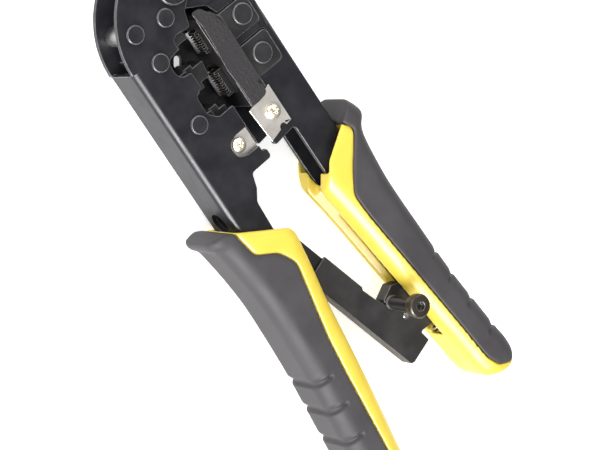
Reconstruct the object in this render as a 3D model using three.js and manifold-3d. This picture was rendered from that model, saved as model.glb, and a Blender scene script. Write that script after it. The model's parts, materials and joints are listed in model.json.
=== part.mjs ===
// Ratchet crimping tool for modular plugs, built as an assembly of separate solids.
// Millimetres. The tool lies on its back: +Z is out of the front face and +Y runs to the head.
// Every sub-part is drawn in the tool's frame, whose Z axis is the main pivot, at mid-thickness.
// The last lines move the whole tool so that the origin is under the middle of its bounding box.

import * as THREE from 'three';
import { mergeVertices } from 'three/addons/utils/BufferGeometryUtils.js';
import Module from 'manifold-3d';

// ---- Driving dimensions ----
const OUTER_FACE = 10;          // half the width of the fixed arm's folded channel
const INNER_FACE = 7.7;         // half the width of the moving arm's channel, nested inside
const SHEET = 2;                // steel sheet of both channels
const GAP = 0.3;                // between pieces that lie against each other
const OUTER_EDGE = -31.6;       // the fixed arm's straight outer side
const INNER_EDGE = 27;          // the moving arm's straight outer side
const FRAME_END = -174;         // both channels end here, inside the handles
const HEAD_RADIUS = 35;         // dome of the fixed arm
const HEAD_CENTRE = [3.4, -17];
const EAR_RADIUS = 20;          // the fixed arm's plate rounds the pivot on the moving arm's side
const EAR_CENTRE = [3.4, -2];
const DOME_RADIUS = 31;         // dome of the moving arm
const DOME_CENTRE = [-4, -17];
const PIVOT_RADIUS = 4;
const RIVET_RADIUS = 2.4;
const SIX_WAY_Y = -24.3;        // centre of the six-contact cavity
const EIGHT_WAY_Y = -41.5;      // centre of the eight-contact cavity
const SIX_WAY_WIDTH = 9.9;
const EIGHT_WAY_WIDTH = 11.9;
const NEST_FLOOR = -8.6;        // plugs rest against this side of the fixed die
const NEST_FACE = 5.4;          // half-thickness of the dies where the plates leave them bare
const CARRIER_LEFT = 1.3;       // the moving die's side that faces the nest
const LEFT_HALF = 13;           // half-thickness of the left handle
const RIGHT_HALF = 12.5;        // half-thickness of the right handle
const HANDLE_CORNER = 6.5;      // corner radius of a handle's section
const SKIN_SIDE = 3;            // soft grip's thickness on the handle's outer side
const SKIN_FACE = 1.4;          // soft grip's thickness on the handle's front and back
const SLOT_HALF = 3.7;          // half-width of the handles' slots for the ratchet
const LINK_HALF = 3;            // half-thickness of the ratchet housing
const BAR_PIVOT = [-16.2, -105];
const HOUSING_PIVOT = [22, -166];
const BAR_ANGLE = 17;           // degrees from the tool's length to the ratchet bar
const TOOTH_PITCH = 1.6;
const TOOTH_DEPTH = 0.9;
const PAWL_CLEARANCE = 0.35;    // from the pawl's tooth to the tops of the bar's teeth
const SEAM = 0.2;               // between a grip's edge and the plastic beside it
const BED_GAP = 0.15;           // between a grip and the plastic beneath it
const LIP = 3;                  // a grip covers the handle's mouth with a lip this thick
const GROOVE_DEPTH = 0.75;      // of the finger grooves across the grips
const GROOVE_WIDTH = 2.6;
const WEB_TOP = -16.5;          // the fixed arm's side wall ends here, below the open window
const WEB_HOLE_Y = -84;
const WEB_HOLE_RADIUS = 4.6;
const FOLD_RADIUS = 2.5;        // outside radius of the fold between a plate and the side wall
const FOLD_STEPS = 5;
const THROUGH = 30;             // half-length of a cut that passes right through the tool
const ROUND = 32;               // sides of a turned piece
const RIVET_SIDES = 24;
const SCREW_SIDES = 20;
const FILLET_STEPS = 5;
const CORNER_STEPS = 5;         // steps round each corner of a handle's section
const END_RINGS = 3;            // a handle's face thins over this many rings before its end
const END_TAPER = 0.45;
const HOLE_SIDES = 12;          // sides of a hole that a rivet or screw fills

const FRAME_RIVETS = [[-22.1, -5.1], [-8.8, -7.1], [-20, -18.9], [-20.7, -46]];
const DIE_RIVETS = [[18.4, -24.3], [16.8, -40.6]];
const PADS = [
  { left: 11, right: 23.6, top: -18.8, bottom: -30.4 },
  { left: 11, right: 23.2, top: -33.7, bottom: -47.1 },
];

// ---- Materials ----
const finish = (color, roughness, metalness) =>
  new THREE.MeshStandardMaterial({ color, roughness, metalness });
const black = finish(0x2a2b30, 0.42, 0.85);
const black_die = finish(0x343338, 0.55, 0.8);
const bright = finish(0xd4cdbb, 0.28, 1);
const plated = finish(0xc9c0a0, 0.3, 1);
const spring_steel = finish(0x8c8c8c, 0.35, 1);
const yellow = finish(0xf7e53c, 0.4, 0);
const grey = finish(0x4a484b, 0.8, 0);

// ---- Solids ----
const wasm = await Module();
wasm.setup();

function toSolid(geometry) {
  const bare = geometry.index ? geometry : geometry.clone();
  bare.deleteAttribute('normal');
  bare.deleteAttribute('uv');
  const merged = mergeVertices(bare, 1e-4);
  return new wasm.Manifold(new wasm.Mesh({
    numProp: 3,
    vertProperties: new Float32Array(merged.attributes.position.array),
    triVerts: new Uint32Array(merged.index.array),
  }));
}

function toGeometry(solid) {
  const mesh = solid.getMesh();
  const geometry = new THREE.BufferGeometry();
  geometry.setAttribute('position', new THREE.BufferAttribute(mesh.vertProperties, 3));
  geometry.setIndex(new THREE.BufferAttribute(mesh.triVerts, 1));
  return geometry;
}

const cut = (solid, ...tools) => tools.reduce((rest, tool) => rest.subtract(tool), solid);
const join = (solid, ...others) => others.reduce((sum, other) => sum.add(other), solid);

// Corners are [x, y] or [x, y, fillet radius], and the outline runs round them in order.
function outline(corners) {
  const points = [];
  corners.forEach(([x, y, radius = 0], index) => {
    const corner = new THREE.Vector2(x, y);
    if (!radius) {
      points.push(corner);
      return;
    }
    const last = corners[(index + corners.length - 1) % corners.length];
    const next = corners[(index + 1) % corners.length];
    const back = new THREE.Vector2(last[0] - x, last[1] - y).normalize();
    const ahead = new THREE.Vector2(next[0] - x, next[1] - y).normalize();
    const half = Math.acos(back.dot(ahead)) / 2;
    const centre = back.clone().add(ahead).setLength(radius / Math.sin(half)).add(corner);
    const start = corner.clone().addScaledVector(back, radius / Math.tan(half)).sub(centre);
    const turn = Math.sign(ahead.cross(back)) * (Math.PI - 2 * half);
    for (let step = 0; step <= FILLET_STEPS; step += 1) {
      const spoke = start.clone().rotateAround(new THREE.Vector2(), turn * step / FILLET_STEPS);
      points.push(spoke.add(centre));
    }
  });
  return points;
}

function arc([x, y], radius, fromDegrees, toDegrees, steps) {
  return Array.from({ length: steps + 1 }, (_, step) => {
    const angle = THREE.MathUtils.degToRad(fromDegrees + (toDegrees - fromDegrees) * step / steps);
    return [x + radius * Math.cos(angle), y + radius * Math.sin(angle)];
  });
}

function plate(corners, low, high) {
  const shape = new THREE.Shape(outline(corners));
  const geometry = new THREE.ExtrudeGeometry(shape, { depth: high - low, bevelEnabled: false });
  return toSolid(geometry.translate(0, 0, low));
}

function block(left, right, bottom, top, low, high) {
  const geometry = new THREE.BoxGeometry(right - left, top - bottom, high - low);
  return toSolid(geometry.translate((left + right) / 2, (bottom + top) / 2, (low + high) / 2));
}

function turned(profile, [x, y], sides = ROUND) {
  const points = profile.map(([radius, z]) => new THREE.Vector2(radius, z));
  const geometry = new THREE.LatheGeometry(points, sides);
  return toSolid(geometry.rotateX(Math.PI / 2).translate(x, y, 0));
}

const drum = (centre, radius, low, high, sides = ROUND) =>
  turned([[0, low], [radius, low], [radius, high], [0, high]], centre, sides);

const hole = (centre, radius, sides = HOLE_SIDES) => drum(centre, radius, -THROUGH, THROUGH, sides);

// A folded channel: the whole outline at full width, less an inner outline between the two plates.
function channel(corners, face, hollow) {
  const inside = face - SHEET;
  return cut(plate(corners, -face, face), plate(hollow, -inside, inside));
}

// ---- Fixed arm ----
function fixedFrame() {
  const shape = [
    [OUTER_EDGE, FRAME_END],
    ...arc(HEAD_CENTRE, HEAD_RADIUS, 180, 90, 22),
    ...arc(EAR_CENTRE, EAR_RADIUS, 78, 0, 14),
    [23.4, -5.5, 3], [9.6, -3.4, 6], [2.8, -6.8, 2], [-0.7, -9.7, 0.8], [-2.6, -15.4, 0.8],
    [-8.6, -14.6, 0.8], [-10.7, -15.6, 1], [-11.2, -19.4, 0.8],
    [-17.2, -20.2, 3.2], [-17.2, -28.2, 3.4], [-11.8, -29, 1], [-11.8, -35.6, 1],
    [-15.4, -37.4, 2.5], [-15.4, -45.4, 3.4], [-12, -48.5, 1], [-5.2, -48.4, 0.5],
    [-5.2, -58.1, 0.5], [-10.6, -58.1, 3], [-15, -59.4, 2.6], [-15, -65.2, 3], [-10.5, -66.9, 1],
    [-5.2, -66.9, 0.5], [-5.2, -69.3, 0.6], [-3.3, -69.6, 1], [-3.3, -73.3, 1.4],
    [-13.4, -73.4, 1.5], [-15.2, -79, 2], [-18.1, -83.2, 3], [-18.8, -98, 1],
    [-13.4, -100, 1.5], [-13.4, -109, 1.5], [-19, -112, 2], [-23.6, FRAME_END],
  ];
  const hollow = [
    [OUTER_EDGE + SHEET, -300], [OUTER_EDGE + SHEET, WEB_TOP], [-90, WEB_TOP],
    [-90, 90], [90, 90], [90, -300],
  ];
  const webHole = toSolid(new THREE.CylinderGeometry(WEB_HOLE_RADIUS, WEB_HOLE_RADIUS, 12, ROUND)
    .rotateZ(Math.PI / 2).translate(OUTER_EDGE, WEB_HOLE_Y, 0));
  return cut(
    join(channel(shape, OUTER_FACE, hollow), cavityBack()),
    webHole,
    foldEdge(1),
    foldEdge(-1),
    ...FRAME_RIVETS.map((at) => hole(at, RIVET_RADIUS + 0.1)),
    hole([0, 0], PIVOT_RADIUS + 0.06, ROUND),
    hole(BAR_PIVOT, 1.6),
  );
}

// The side wall is folded from the sheet, so its edges along both plates are rounded.
function foldEdge(side) {
  const face = side * OUTER_FACE;
  const centre = [OUTER_EDGE + FOLD_RADIUS, face - side * FOLD_RADIUS];
  const section = [
    ...arc(centre, FOLD_RADIUS, 180, 180 - side * 90, FOLD_STEPS),
    [centre[0], face + side], [OUTER_EDGE - 1, face + side], [OUTER_EDGE - 1, centre[1]],
  ];
  const shape = new THREE.Shape(section.map(([x, z]) => new THREE.Vector2(x, z)));
  const length = WEB_TOP - FRAME_END + 1;
  const geometry = new THREE.ExtrudeGeometry(shape, { depth: length, bevelEnabled: false });
  return toSolid(geometry.rotateX(Math.PI / 2).translate(0, WEB_TOP, 0));
}

// Behind the plug cavities the back plate is closed, but for one inspection hole.
function cavityBack() {
  const low = -OUTER_FACE;
  const wall = plate([
    [-20, -9], [11, -9.5, 1.5], [11.6, -15.6, 2], [8, -19, 2], [2.4, -20.5, 2], [2.4, -57, 2],
    [-4, -60, 2], [-20, -60],
  ], low, low + SHEET);
  const inspection = plate([
    [-9.2, -28.7, 1.3], [-6.4, -24.9, 1.3], [-4, -26.7, 1.3], [-6.8, -30.5, 1.3],
  ], low - 1, low + SHEET + 1);
  return cut(wall, inspection);
}

function pivotPin() {
  const back = -OUTER_FACE;
  return turned([
    [0, back - 1.3], [5.2, back - 1.3], [5.8, back - 0.8], [5.8, back - 0.05],
    [PIVOT_RADIUS, back - 0.05], [PIVOT_RADIUS, OUTER_FACE + 0.05], [6.5, OUTER_FACE + 0.05],
    [6.5, OUTER_FACE + 0.9], [6.1, OUTER_FACE + 1.3], [0, OUTER_FACE + 1.3],
  ], [0, 0]);
}

function rivet(at, front, back, head) {
  return turned([
    [0, back - 0.9], [head - 0.6, back - 0.9], [head - 0.2, back - 0.05],
    [RIVET_RADIUS, back - 0.05], [RIVET_RADIUS, front + 0.05], [head, front + 0.05],
    [head, front + 0.6], [head - 0.35, front + 0.95], [0, front + 0.95],
  ], at, RIVET_SIDES);
}

// The spacer sleeve keeps the two plates apart in the open window at the head.
function frameSpacer() {
  const face = OUTER_FACE - SHEET - 0.1;
  return cut(
    drum(FRAME_RIVETS[0], 3.8, -face, face),
    hole(FRAME_RIVETS[0], RIVET_RADIUS + 0.1),
  );
}

function nestDie() {
  const face = OUTER_FACE - SHEET - 0.1;
  const body = plate([
    [-26, -14], [-23.5, -11.5, 1.5], [-13.5, -11.5, 1.5], [-12.5, -16, 1],
    [-12.5, -51, 1], [-26, -51, 1.5],
  ], -face, face);
  const half = { six: SIX_WAY_WIDTH / 2, eight: EIGHT_WAY_WIDTH / 2 };
  const comb = plate([
    [-14, -15], [-4.4, -15.6, 1], [-3.6, SIX_WAY_Y + half.six, 0.4],
    [NEST_FLOOR, SIX_WAY_Y + half.six], [NEST_FLOOR, SIX_WAY_Y - half.six],
    [-3.8, SIX_WAY_Y - half.six, 0.4], [-4.6, EIGHT_WAY_Y + half.eight, 0.4],
    [NEST_FLOOR, EIGHT_WAY_Y + half.eight], [NEST_FLOOR, EIGHT_WAY_Y - half.eight],
    [-5.6, EIGHT_WAY_Y - half.eight, 0.4], [-6.4, -51, 0.6], [-14, -51],
  ], -NEST_FACE, NEST_FACE);
  const latch = (y, depth, width) => plate([
    [0, y + width / 2], [depth, y + width / 2, 2.2], [depth, y - width / 2, 2.2], [0, y - width / 2],
  ], -THROUGH, THROUGH);
  return cut(
    join(body, comb),
    latch(SIX_WAY_Y, -17.4, 7),
    latch(EIGHT_WAY_Y, -15.6, 7.4),
    hole(FRAME_RIVETS[2], RIVET_RADIUS + 0.1),
    hole(FRAME_RIVETS[3], RIVET_RADIUS + 0.1),
  );
}

const BLADE_LOW = 6.5;
const SCREW_AT = { left: [-11.2, -62.1], right: [7.5, -60.6] };

function stripperBlade() {
  const face = OUTER_FACE - SHEET - 0.15;
  const shape = [[-17, -54.5], [-6.1, -54.5], [-4.9, -55.4], [-4.9, -67.4], [-17, -67.4]];
  return cut(plate(shape, BLADE_LOW, face), hole(SCREW_AT.left, 1.6));
}

function bladeBlock() {
  const shape = [[-19, -53.6], [-6.4, -53.6], [-6.4, -68.2], [-19, -68.2]];
  const face = OUTER_FACE - SHEET - 0.1;
  return cut(plate(shape, -face, BLADE_LOW - 0.05), hole(SCREW_AT.left, 1.6));
}

// A pan-head screw: domed head with a cross recess, and its shank.
function screw([x, y], seat, length) {
  const head = turned([
    [0, seat - length], [1.2, seat - length], [1.5, seat - length + 0.4], [1.5, seat + 0.02],
    [2.95, seat + 0.02], [2.95, seat + 0.9], [2.4, seat + 1.5], [1.3, seat + 1.85],
    [0, seat + 1.95],
  ], [x, y], SCREW_SIDES);
  const slot = (long, wide) =>
    block(x - long / 2, x + long / 2, y - wide / 2, y + wide / 2, seat + 0.8, seat + 3);
  return cut(head, slot(2.8, 0.7), slot(0.7, 2.8));
}

// ---- Moving arm ----
function movingFrame() {
  const shape = [
    [30, FRAME_END], [19.6, FRAME_END, 1], [18.4, -150], [12.6, -95], [12.3, -70.7, 1.5],
    [1.4, -71.9, 1], [1.5, -69.2, 0.6], [1.2, -54.7, 0.5], [10.9, -52, 0.4],
    [10.9, -19, 2], [8.4, -13.6, 2], [-2, -8.2, 2], [-6.8, -3.2, 2], [-10.6, 4, 3],
    ...arc(DOME_CENTRE, DOME_RADIUS, 98, 0, 22), [INNER_EDGE, -100],
  ];
  const hollow = [
    [INNER_EDGE - SHEET, -20], [INNER_EDGE - SHEET, -100], [28, FRAME_END], [28, -300],
    [-90, -300], [-90, 90], [90, 90], [90, -20],
  ];
  const windows = PADS.map(({ left, right, top, bottom }) => plate([
    [left - 4, top + GAP], [right + GAP, top + GAP, 2], [right + GAP, bottom - GAP, 2],
    [left - 4, bottom - GAP],
  ], INNER_FACE - SHEET - 1, THROUGH));
  return cut(
    channel(shape, INNER_FACE, hollow),
    ...windows,
    ...DIE_RIVETS.map((at) => hole(at, RIVET_RADIUS + 0.1)),
    hole([0, 0], PIVOT_RADIUS + 0.08, ROUND),
    drum(SCREW_AT.right, 1.6, 0, THROUGH, HOLE_SIDES),
    hole(HOUSING_PIVOT, 2.1),
  );
}

const CARRIER_FRONT = 8.7;
const PAD_FRONT = 8.5;

function dieCarrier() {
  const inside = INNER_FACE - SHEET - 0.15;
  const front = plate([
    [CARRIER_LEFT, -14.4, 1], [7.6, -15.6, 2], [10.6, -20, 1], [10.6, -51.5], [CARRIER_LEFT, -54],
  ], -INNER_FACE, CARRIER_FRONT);
  const buried = plate([
    [10, -19.4], [24.2, -18, 2], [24.2, -50, 2], [10, -52],
  ], -inside, inside);
  const pads = PADS.map(({ left, right, top, bottom }) => plate([
    [left - 0.8, top], [right, top, 2], [right, bottom, 2], [left - 0.8, bottom],
  ], 0, PAD_FRONT));
  const pocket = (y, width) =>
    block(-1, 6.2, y - width / 2, y + width / 2, -NEST_FACE - 0.6, 4.6);
  return cut(
    join(front, buried, ...pads),
    pocket(SIX_WAY_Y, 9.7),
    pocket(EIGHT_WAY_Y, 11),
    ...DIE_RIVETS.map((at) => hole(at, RIVET_RADIUS + 0.1)),
  );
}

// A thin plate with a wavy outline covers the carrier's front and ends in a lobe over the blade.
function dieFacePlate() {
  return plate([
    [0.7, -12, 1], [4.6, -12.3, 2.5], [8.3, -17.4, 3], [10.4, -24.6, 3], [10.4, -46.9, 1.4],
    [8, -47.9, 0.8], [9.7, -49.6, 2], [9.5, -53.4, 2.2], [4.6, -54.1, 1], [1.5, -54.1, 0.6],
    [1.5, -46, 3],
    [0.7, -37.2, 6], [1.8, -24, 6], [1.9, -18.6, 3],
  ], CARRIER_FRONT + 0.1, CARRIER_FRONT + 0.95);
}

// A contact punch: a steel block in the carrier's pocket whose free edge is cut into thin teeth.
function contactPunch(y, width, tip, contacts) {
  const body = block(tip, 6, y - width / 2, y + width / 2, -0.6, 4.2);
  const pitch = 1.02;
  const gaps = Array.from({ length: contacts + 1 }, (_, index) => {
    const middle = y + (index - contacts / 2) * pitch;
    return block(tip - 1, tip + 1.5, middle - 0.29, middle + 0.29, -2, 6);
  });
  return cut(body, ...gaps);
}

// The strain-relief punch is a plain wedge that presses the cable clamp at the plug's rear.
function strainPunch(y, width, tip) {
  const low = -NEST_FACE;
  const wedge = new THREE.Shape([
    new THREE.Vector2(tip + 1.2, low), new THREE.Vector2(6, low), new THREE.Vector2(6, -1),
    new THREE.Vector2(tip + 2.4, -1), new THREE.Vector2(tip, -3.4),
  ]);
  const geometry = new THREE.ExtrudeGeometry(wedge, { depth: width, bevelEnabled: false });
  return toSolid(geometry.rotateX(Math.PI / 2).translate(0, y + width / 2, 0));
}

function cutterBlade() {
  const shape = [
    [-0.4, -54.9], [12, -51.5], [12.1, -67.7], [9.7, -68], ...arc([8, -68.2], 1.7, 0, 180, 12),
    [0.7, -69.6],
  ];
  return cut(plate(shape, INNER_FACE + 0.05, CARRIER_FRONT), hole(SCREW_AT.right, 1.6));
}

// ---- Handles ----
// Stations run down a handle: [y, inner side's x, outer side's x].
const RIGHT_STATIONS = [
  [-70, 8.8, 32.5], [-76, 8, 36.2], [-80, 7.4, 38.2], [-84, 7, 38.9], [-87, 6.7, 36.3],
  [-90, 6.6, 35], [-94, 6.7, 34.3], [-100, 7.6, 33.7], [-110, 9.4, 33.1], [-122, 11.2, 33.3],
  [-135, 12.9, 33.9], [-150, 15, 34.6], [-162, 16.7, 35.5], [-175, 18.4, 37], [-188, 20.3, 38.5],
  [-197, 21.5, 39.7], [-201, 22.7, 39.3], [-203.4, 24.4, 38.2], [-205, 28, 36.4],
  [-205.8, 31.2, 34.6],
];
const LEFT_STATIONS = [
  [-74, -12.6, -39], [-80, -12.1, -42.5], [-83, -11.9, -44.2], [-86, -11.6, -44.4],
  [-89, -11.4, -42.2], [-92, -11.2, -41.5], [-96, -11, -40.9], [-103, -11.2, -40],
  [-110, -12.2, -39.3], [-117, -13.2, -38.9], [-124, -14.4, -38.9], [-131, -15.6, -39.1],
  [-139, -16.6, -39.4], [-147, -17.5, -39.8], [-154, -18.3, -40.3], [-166, -19.8, -41.5],
  [-180, -21.7, -42.9], [-193, -23.7, -44.2], [-203, -25.6, -45.3], [-209, -28.6, -45.9],
  [-212.5, -32, -45.5], [-213.5, -34, -44.5],
];

function sectionRing(y, sideA, sideB, half, inset) {
  const margin = Math.min(inset.side, Math.abs(sideB - sideA) / 2 - 1);
  const left = Math.min(sideA, sideB) + margin;
  const right = Math.max(sideA, sideB) - margin;
  const face = half - inset.face;
  const radius = Math.min(HANDLE_CORNER, (right - left) / 2 - 0.5);
  const corners = [[right, face, 0], [left, face, 90], [left, -face, 180], [right, -face, 270]];
  return corners.flatMap(([x, z, from]) => {
    const centre = [x - Math.sign(x - (left + right) / 2) * radius, z - Math.sign(z) * radius];
    return arc(centre, radius, from, from + 90, CORNER_STEPS).map(([px, pz]) => [px, y, pz]);
  });
}

// A handle's body is skinned over its stations, and closed by a fan at each end.
function handleBody(stations, half, inset) {
  const rings = stations.map(([y, sideA, sideB], index) => {
    const last = stations.length - 1 - index;
    const taper = Math.max(0, END_RINGS - last) ** 2 * END_TAPER;
    return sectionRing(y, sideA, sideB, half - taper, inset);
  });
  const count = rings[0].length;
  const positions = rings.flat(2);
  const indices = [];
  for (let ring = 0; ring + 1 < rings.length; ring += 1) {
    for (let side = 0; side < count; side += 1) {
      const here = ring * count + side;
      const beside = ring * count + (side + 1) % count;
      indices.push(here, beside, here + count, beside, beside + count, here + count);
    }
  }
  const end = (rings.length - 1) * count;
  for (let side = 1; side + 1 < count; side += 1) {
    indices.push(0, side + 1, side);
    indices.push(end, end + side, end + side + 1);
  }
  const geometry = new THREE.BufferGeometry();
  geometry.setAttribute('position', new THREE.Float32BufferAttribute(positions, 3));
  geometry.setIndex(indices);
  return toSolid(geometry);
}

// The grip's edge on a handle's face, from the mouth down to the tail; the grip lies outside it.
const RIGHT_GRIP_EDGE = [
  [26, -62], [27, -80.5, 3], [30, -86.2, 3], [21.5, -96.4, 6], [15.2, -106, 8], [16, -116.5],
  [19.8, -145.5], [23.7, -175.6], [26, -194.7, 6], [28.8, -201, 4], [35.6, -204.2], [46, -206.4],
];
const LEFT_GRIP_EDGE = [
  [-31, -62], [-33.3, -87, 3], [-31.2, -97.6, 4], [-22.8, -103, 7], [-19.2, -110.6, 7],
  [-20.6, -118, 8], [-22.4, -127], [-25.4, -142.6], [-27.2, -158.2], [-28.7, -174.4],
  [-30.3, -191.5], [-31, -200, 4], [-35.4, -205.6, 3], [-52, -205.6],
];

function gripZone(edge, side, seam) {
  const shifted = edge.map(([x, y, radius]) => [x + side * seam, y + seam / 2, radius]);
  return plate([...shifted, [side * 90, -120], [side * 90, -62 + seam]], -THROUGH, THROUGH);
}

const SKIN_INSET = { side: SKIN_SIDE, face: SKIN_FACE };
const BED_INSET = { side: SKIN_SIDE - BED_GAP, face: SKIN_FACE - BED_GAP };
const GROOVE_INSET = { side: GROOVE_DEPTH, face: GROOVE_DEPTH };
const NO_INSET = { side: 0, face: 0 };

// Finger grooves: [y, inner end's x]. Each runs from there over the outer side to the back.
const RIGHT_GROOVES = [[-147.5, 30], [-159, 30.6], [-172.5, 31.9], [-187.5, 33.4]];
const LEFT_GROOVES = [[-154.5, -33.7], [-167, -34.6], [-181, -36.3], [-194, -37.6]];

function groove([y, inner], side) {
  const half = GROOVE_WIDTH / 2;
  return plate([
    [inner, y + half, half - 0.05], [inner, y - half, half - 0.05],
    [side * 60, y - half], [side * 60, y + half],
  ], -THROUGH, THROUGH);
}

const mouthCutter = (corners, drop) =>
  plate(corners.map(([x, y, radius]) => [x, y - drop, radius]), -THROUGH, THROUGH);

// The plastic core is bare between the grip's edge and the inner side, and buried in the grip beyond.
function handlePair({ stations, half, edge, side, grooves, mouth, cavity, hollows }) {
  const whole = cut(handleBody(stations, half, NO_INSET), mouthCutter(mouth, 0));
  const buried = cut(handleBody(stations, half, SKIN_INSET), mouthCutter(mouth, LIP + BED_GAP));
  const bed = cut(handleBody(stations, half, BED_INSET), mouthCutter(mouth, LIP));
  const core = cut(join(cut(whole, gripZone(edge, side, 0)), buried), cavity, ...hollows);
  const channels = grooves.map((place) => groove(place, side))
    .map((bar) => cut(bar, handleBody(stations, half, GROOVE_INSET)));
  const grip = cut(whole.intersect(gripZone(edge, side, SEAM)), bed, cavity, ...channels);
  return { core, grip };
}

// A bar along the right handle's inner side; its section is drawn in (depth, z) from the surface.
function innerSideBar(section, top, bottom) {
  const start = [6.9, -95];
  const lean = THREE.MathUtils.degToRad(8.2);
  const shape = new THREE.Shape(section.map(([depth, z]) => new THREE.Vector2(depth, z)));
  const length = (top - bottom) / Math.cos(lean);
  const geometry = new THREE.ExtrudeGeometry(shape, { depth: length, bevelEnabled: false });
  const x = start[0] + (start[1] - top) * Math.tan(lean);
  return toSolid(geometry.rotateX(Math.PI / 2).rotateZ(lean).translate(x, top, 0));
}

const rightHandle = handlePair({
  stations: RIGHT_STATIONS,
  half: RIGHT_HALF,
  edge: RIGHT_GRIP_EDGE,
  side: 1,
  grooves: RIGHT_GROOVES,
  mouth: [
    [60, -75.5], [37, -74.6, 7], [14.5, -88.8, 3], [10.4, -94.4, 2.5], [6.4, -99.5], [0, -99.5],
    [0, -40], [60, -40],
  ],
  cavity: plate([
    [12, -60], [27.3, -60], [27.3, -100], [30.4, FRAME_END - 1], [19.2, FRAME_END - 1],
    [18, -150], [12.2, -95],
  ], -INNER_FACE - 0.2, INNER_FACE + 0.2),
  hollows: [
    plate([[12, -70], [28.2, -70], [28.2, -86], [12, -96.4]], -RIGHT_HALF + 1.5, RIGHT_HALF - 1.5),
    plate([[0, -80], [14, -80], [14, -96], [10.8, -102, 1], [0, -102]], -4.6, 4.6),
    innerSideBar([[-9, -5.3], [-0.3, -5.3], [4, -3.4], [4, 3.5], [-0.3, 4], [-9, 4]], -92, -176),
    plate([[18.2, -172], [27, -172], [31, -194], [24, -194]], -SLOT_HALF, SLOT_HALF),
    plate([[4, -114, 2], [24, -114, 2], [24, -178, 2], [4, -178, 2]], -SLOT_HALF, SLOT_HALF),
  ],
});

const leftHandle = handlePair({
  stations: LEFT_STATIONS,
  half: LEFT_HALF,
  edge: LEFT_GRIP_EDGE,
  side: -1,
  grooves: LEFT_GROOVES,
  mouth: [
    [-60, -82.5], [-37, -83.6, 5], [-13.5, -98.7, 2.5], [-10.6, -105], [0, -105], [0, -40],
    [-60, -40],
  ],
  cavity: plate([
    [-31.9, -60], [-31.9, FRAME_END - 1], [-23.2, FRAME_END - 1], [-18.5, -112.5],
    [-13.1, -110], [-13.1, -99], [-18, -60],
  ], -OUTER_FACE - 0.2, OUTER_FACE + 0.2),
  hollows: [
    plate([[-24, -96], [-4, -96], [-4, -160, 2], [-24, -160, 2]], -SLOT_HALF, SLOT_HALF),
  ],
});

// ---- Ratchet between the handles ----
// Its outlines use the bar's own axes: [distance along the bar from its pivot, distance to its right].
const along = new THREE.Vector2(0, -1).rotateAround(
  new THREE.Vector2(), THREE.MathUtils.degToRad(BAR_ANGLE));
const across = new THREE.Vector2(1, 0).rotateAround(
  new THREE.Vector2(), THREE.MathUtils.degToRad(BAR_ANGLE));

function onBar([a, b, radius]) {
  const x = BAR_PIVOT[0] + a * along.x + b * across.x;
  const y = BAR_PIVOT[1] + a * along.y + b * across.y;
  return radius ? [x, y, radius] : [x, y];
}

const linkPlate = (corners, low, high) => plate(corners.map(onBar), low, high);

const BAR_HALF = 1.25;
const BAR_LOW = -0.2;
const BAR_HIGH = 5.9;
const BAR_TEETH = 22;
const FIRST_TOOTH = 20;
const PAWL_TOOTH = FIRST_TOOTH + 20 * TOOTH_PITCH;
const PAWL_PIVOT = onBar([62, 9]);
const KNOB_AT = onBar([53.3, 9.5]);

function ratchetBar() {
  const teeth = Array.from({ length: BAR_TEETH }, (_, index) => {
    const start = FIRST_TOOTH + index * TOOTH_PITCH;
    return [[start, BAR_HIGH], [start + TOOTH_PITCH * 0.75, BAR_HIGH - TOOTH_DEPTH]];
  }).flat();
  const shape = [
    [-3, -3, 2.9], [-3, 3.4, 2.9], [4, BAR_HIGH, 2], ...teeth,
    [FIRST_TOOTH + BAR_TEETH * TOOTH_PITCH, BAR_HIGH], [57, BAR_HIGH - 0.4, 1], [57, BAR_LOW, 1],
    [6, BAR_LOW, 2], [3, -3, 2.9],
  ];
  return cut(linkPlate(shape, -BAR_HALF, BAR_HALF), hole(BAR_PIVOT, 1.58, ROUND));
}

const HOUSING_SHAPE = [
  [18, 6.7, 0.6], [38.8, 6.7, 0.5], [39.8, 5.9, 0.5], [47, 6.3], [55, 7.5, 4], [63, 11.3, 3],
  [66, 15.6, 2], [66, 22.4, 3.4], [73.3, 22.4, 3.4], [73.6, 13, 1], [71.6, 7.9, 0.6],
  [76.6, 7.4, 0.5], [76.2, -4.9, 2], [18, -4.9, 0.8],
];

function ratchetHousing() {
  const sheet = 1.2;
  const web = -4.9 + sheet;
  const inside = LINK_HALF - sheet;
  return cut(
    linkPlate(HOUSING_SHAPE, -LINK_HALF, LINK_HALF),
    linkPlate([[0, web], [74.6, web, 1], [74.6, 30], [0, 30]], -inside, inside),
    hole(PAWL_PIVOT, 1.3),
    hole(HOUSING_PIVOT, 2.1),
  );
}

// The guide block fills the housing between its web and the back of the bar.
function housingGuide() {
  const inside = LINK_HALF - 1.2 - 0.1;
  return linkPlate([[24, -3.5], [24, -0.6], [50, -0.6, 1], [54, -3.5]], -inside, inside);
}

function ratchetPawl() {
  const tip = BAR_HIGH + PAWL_CLEARANCE;
  const blade = linkPlate([
    [62.6, 6.9, 1.6], [64.6, 9.6, 2], [61.5, 12, 2], [55, 10.5], [51, 9.5], [50.8, 7.4],
    [PAWL_TOOTH + TOOTH_PITCH * 0.2, tip + 0.7], [PAWL_TOOTH + TOOTH_PITCH * 0.72, tip],
    [PAWL_TOOTH + TOOTH_PITCH * 0.8, tip + 0.6], [55, tip + 0.6], [60, tip + 0.6],
  ], -1.4, 1.4);
  const head = linkPlate([
    [50, 7.5, 0.8], [49, 14.6, 1], [51.6, 18, 1.5], [59.4, 17, 1.5], [61, 13.4, 1], [55.4, 8.6, 1],
  ], -LINK_HALF - 0.2, LINK_HALF + 0.2);
  return cut(join(blade, head), hole(PAWL_PIVOT, 1.26));
}

const STUD_TOP = 19.5;

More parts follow.
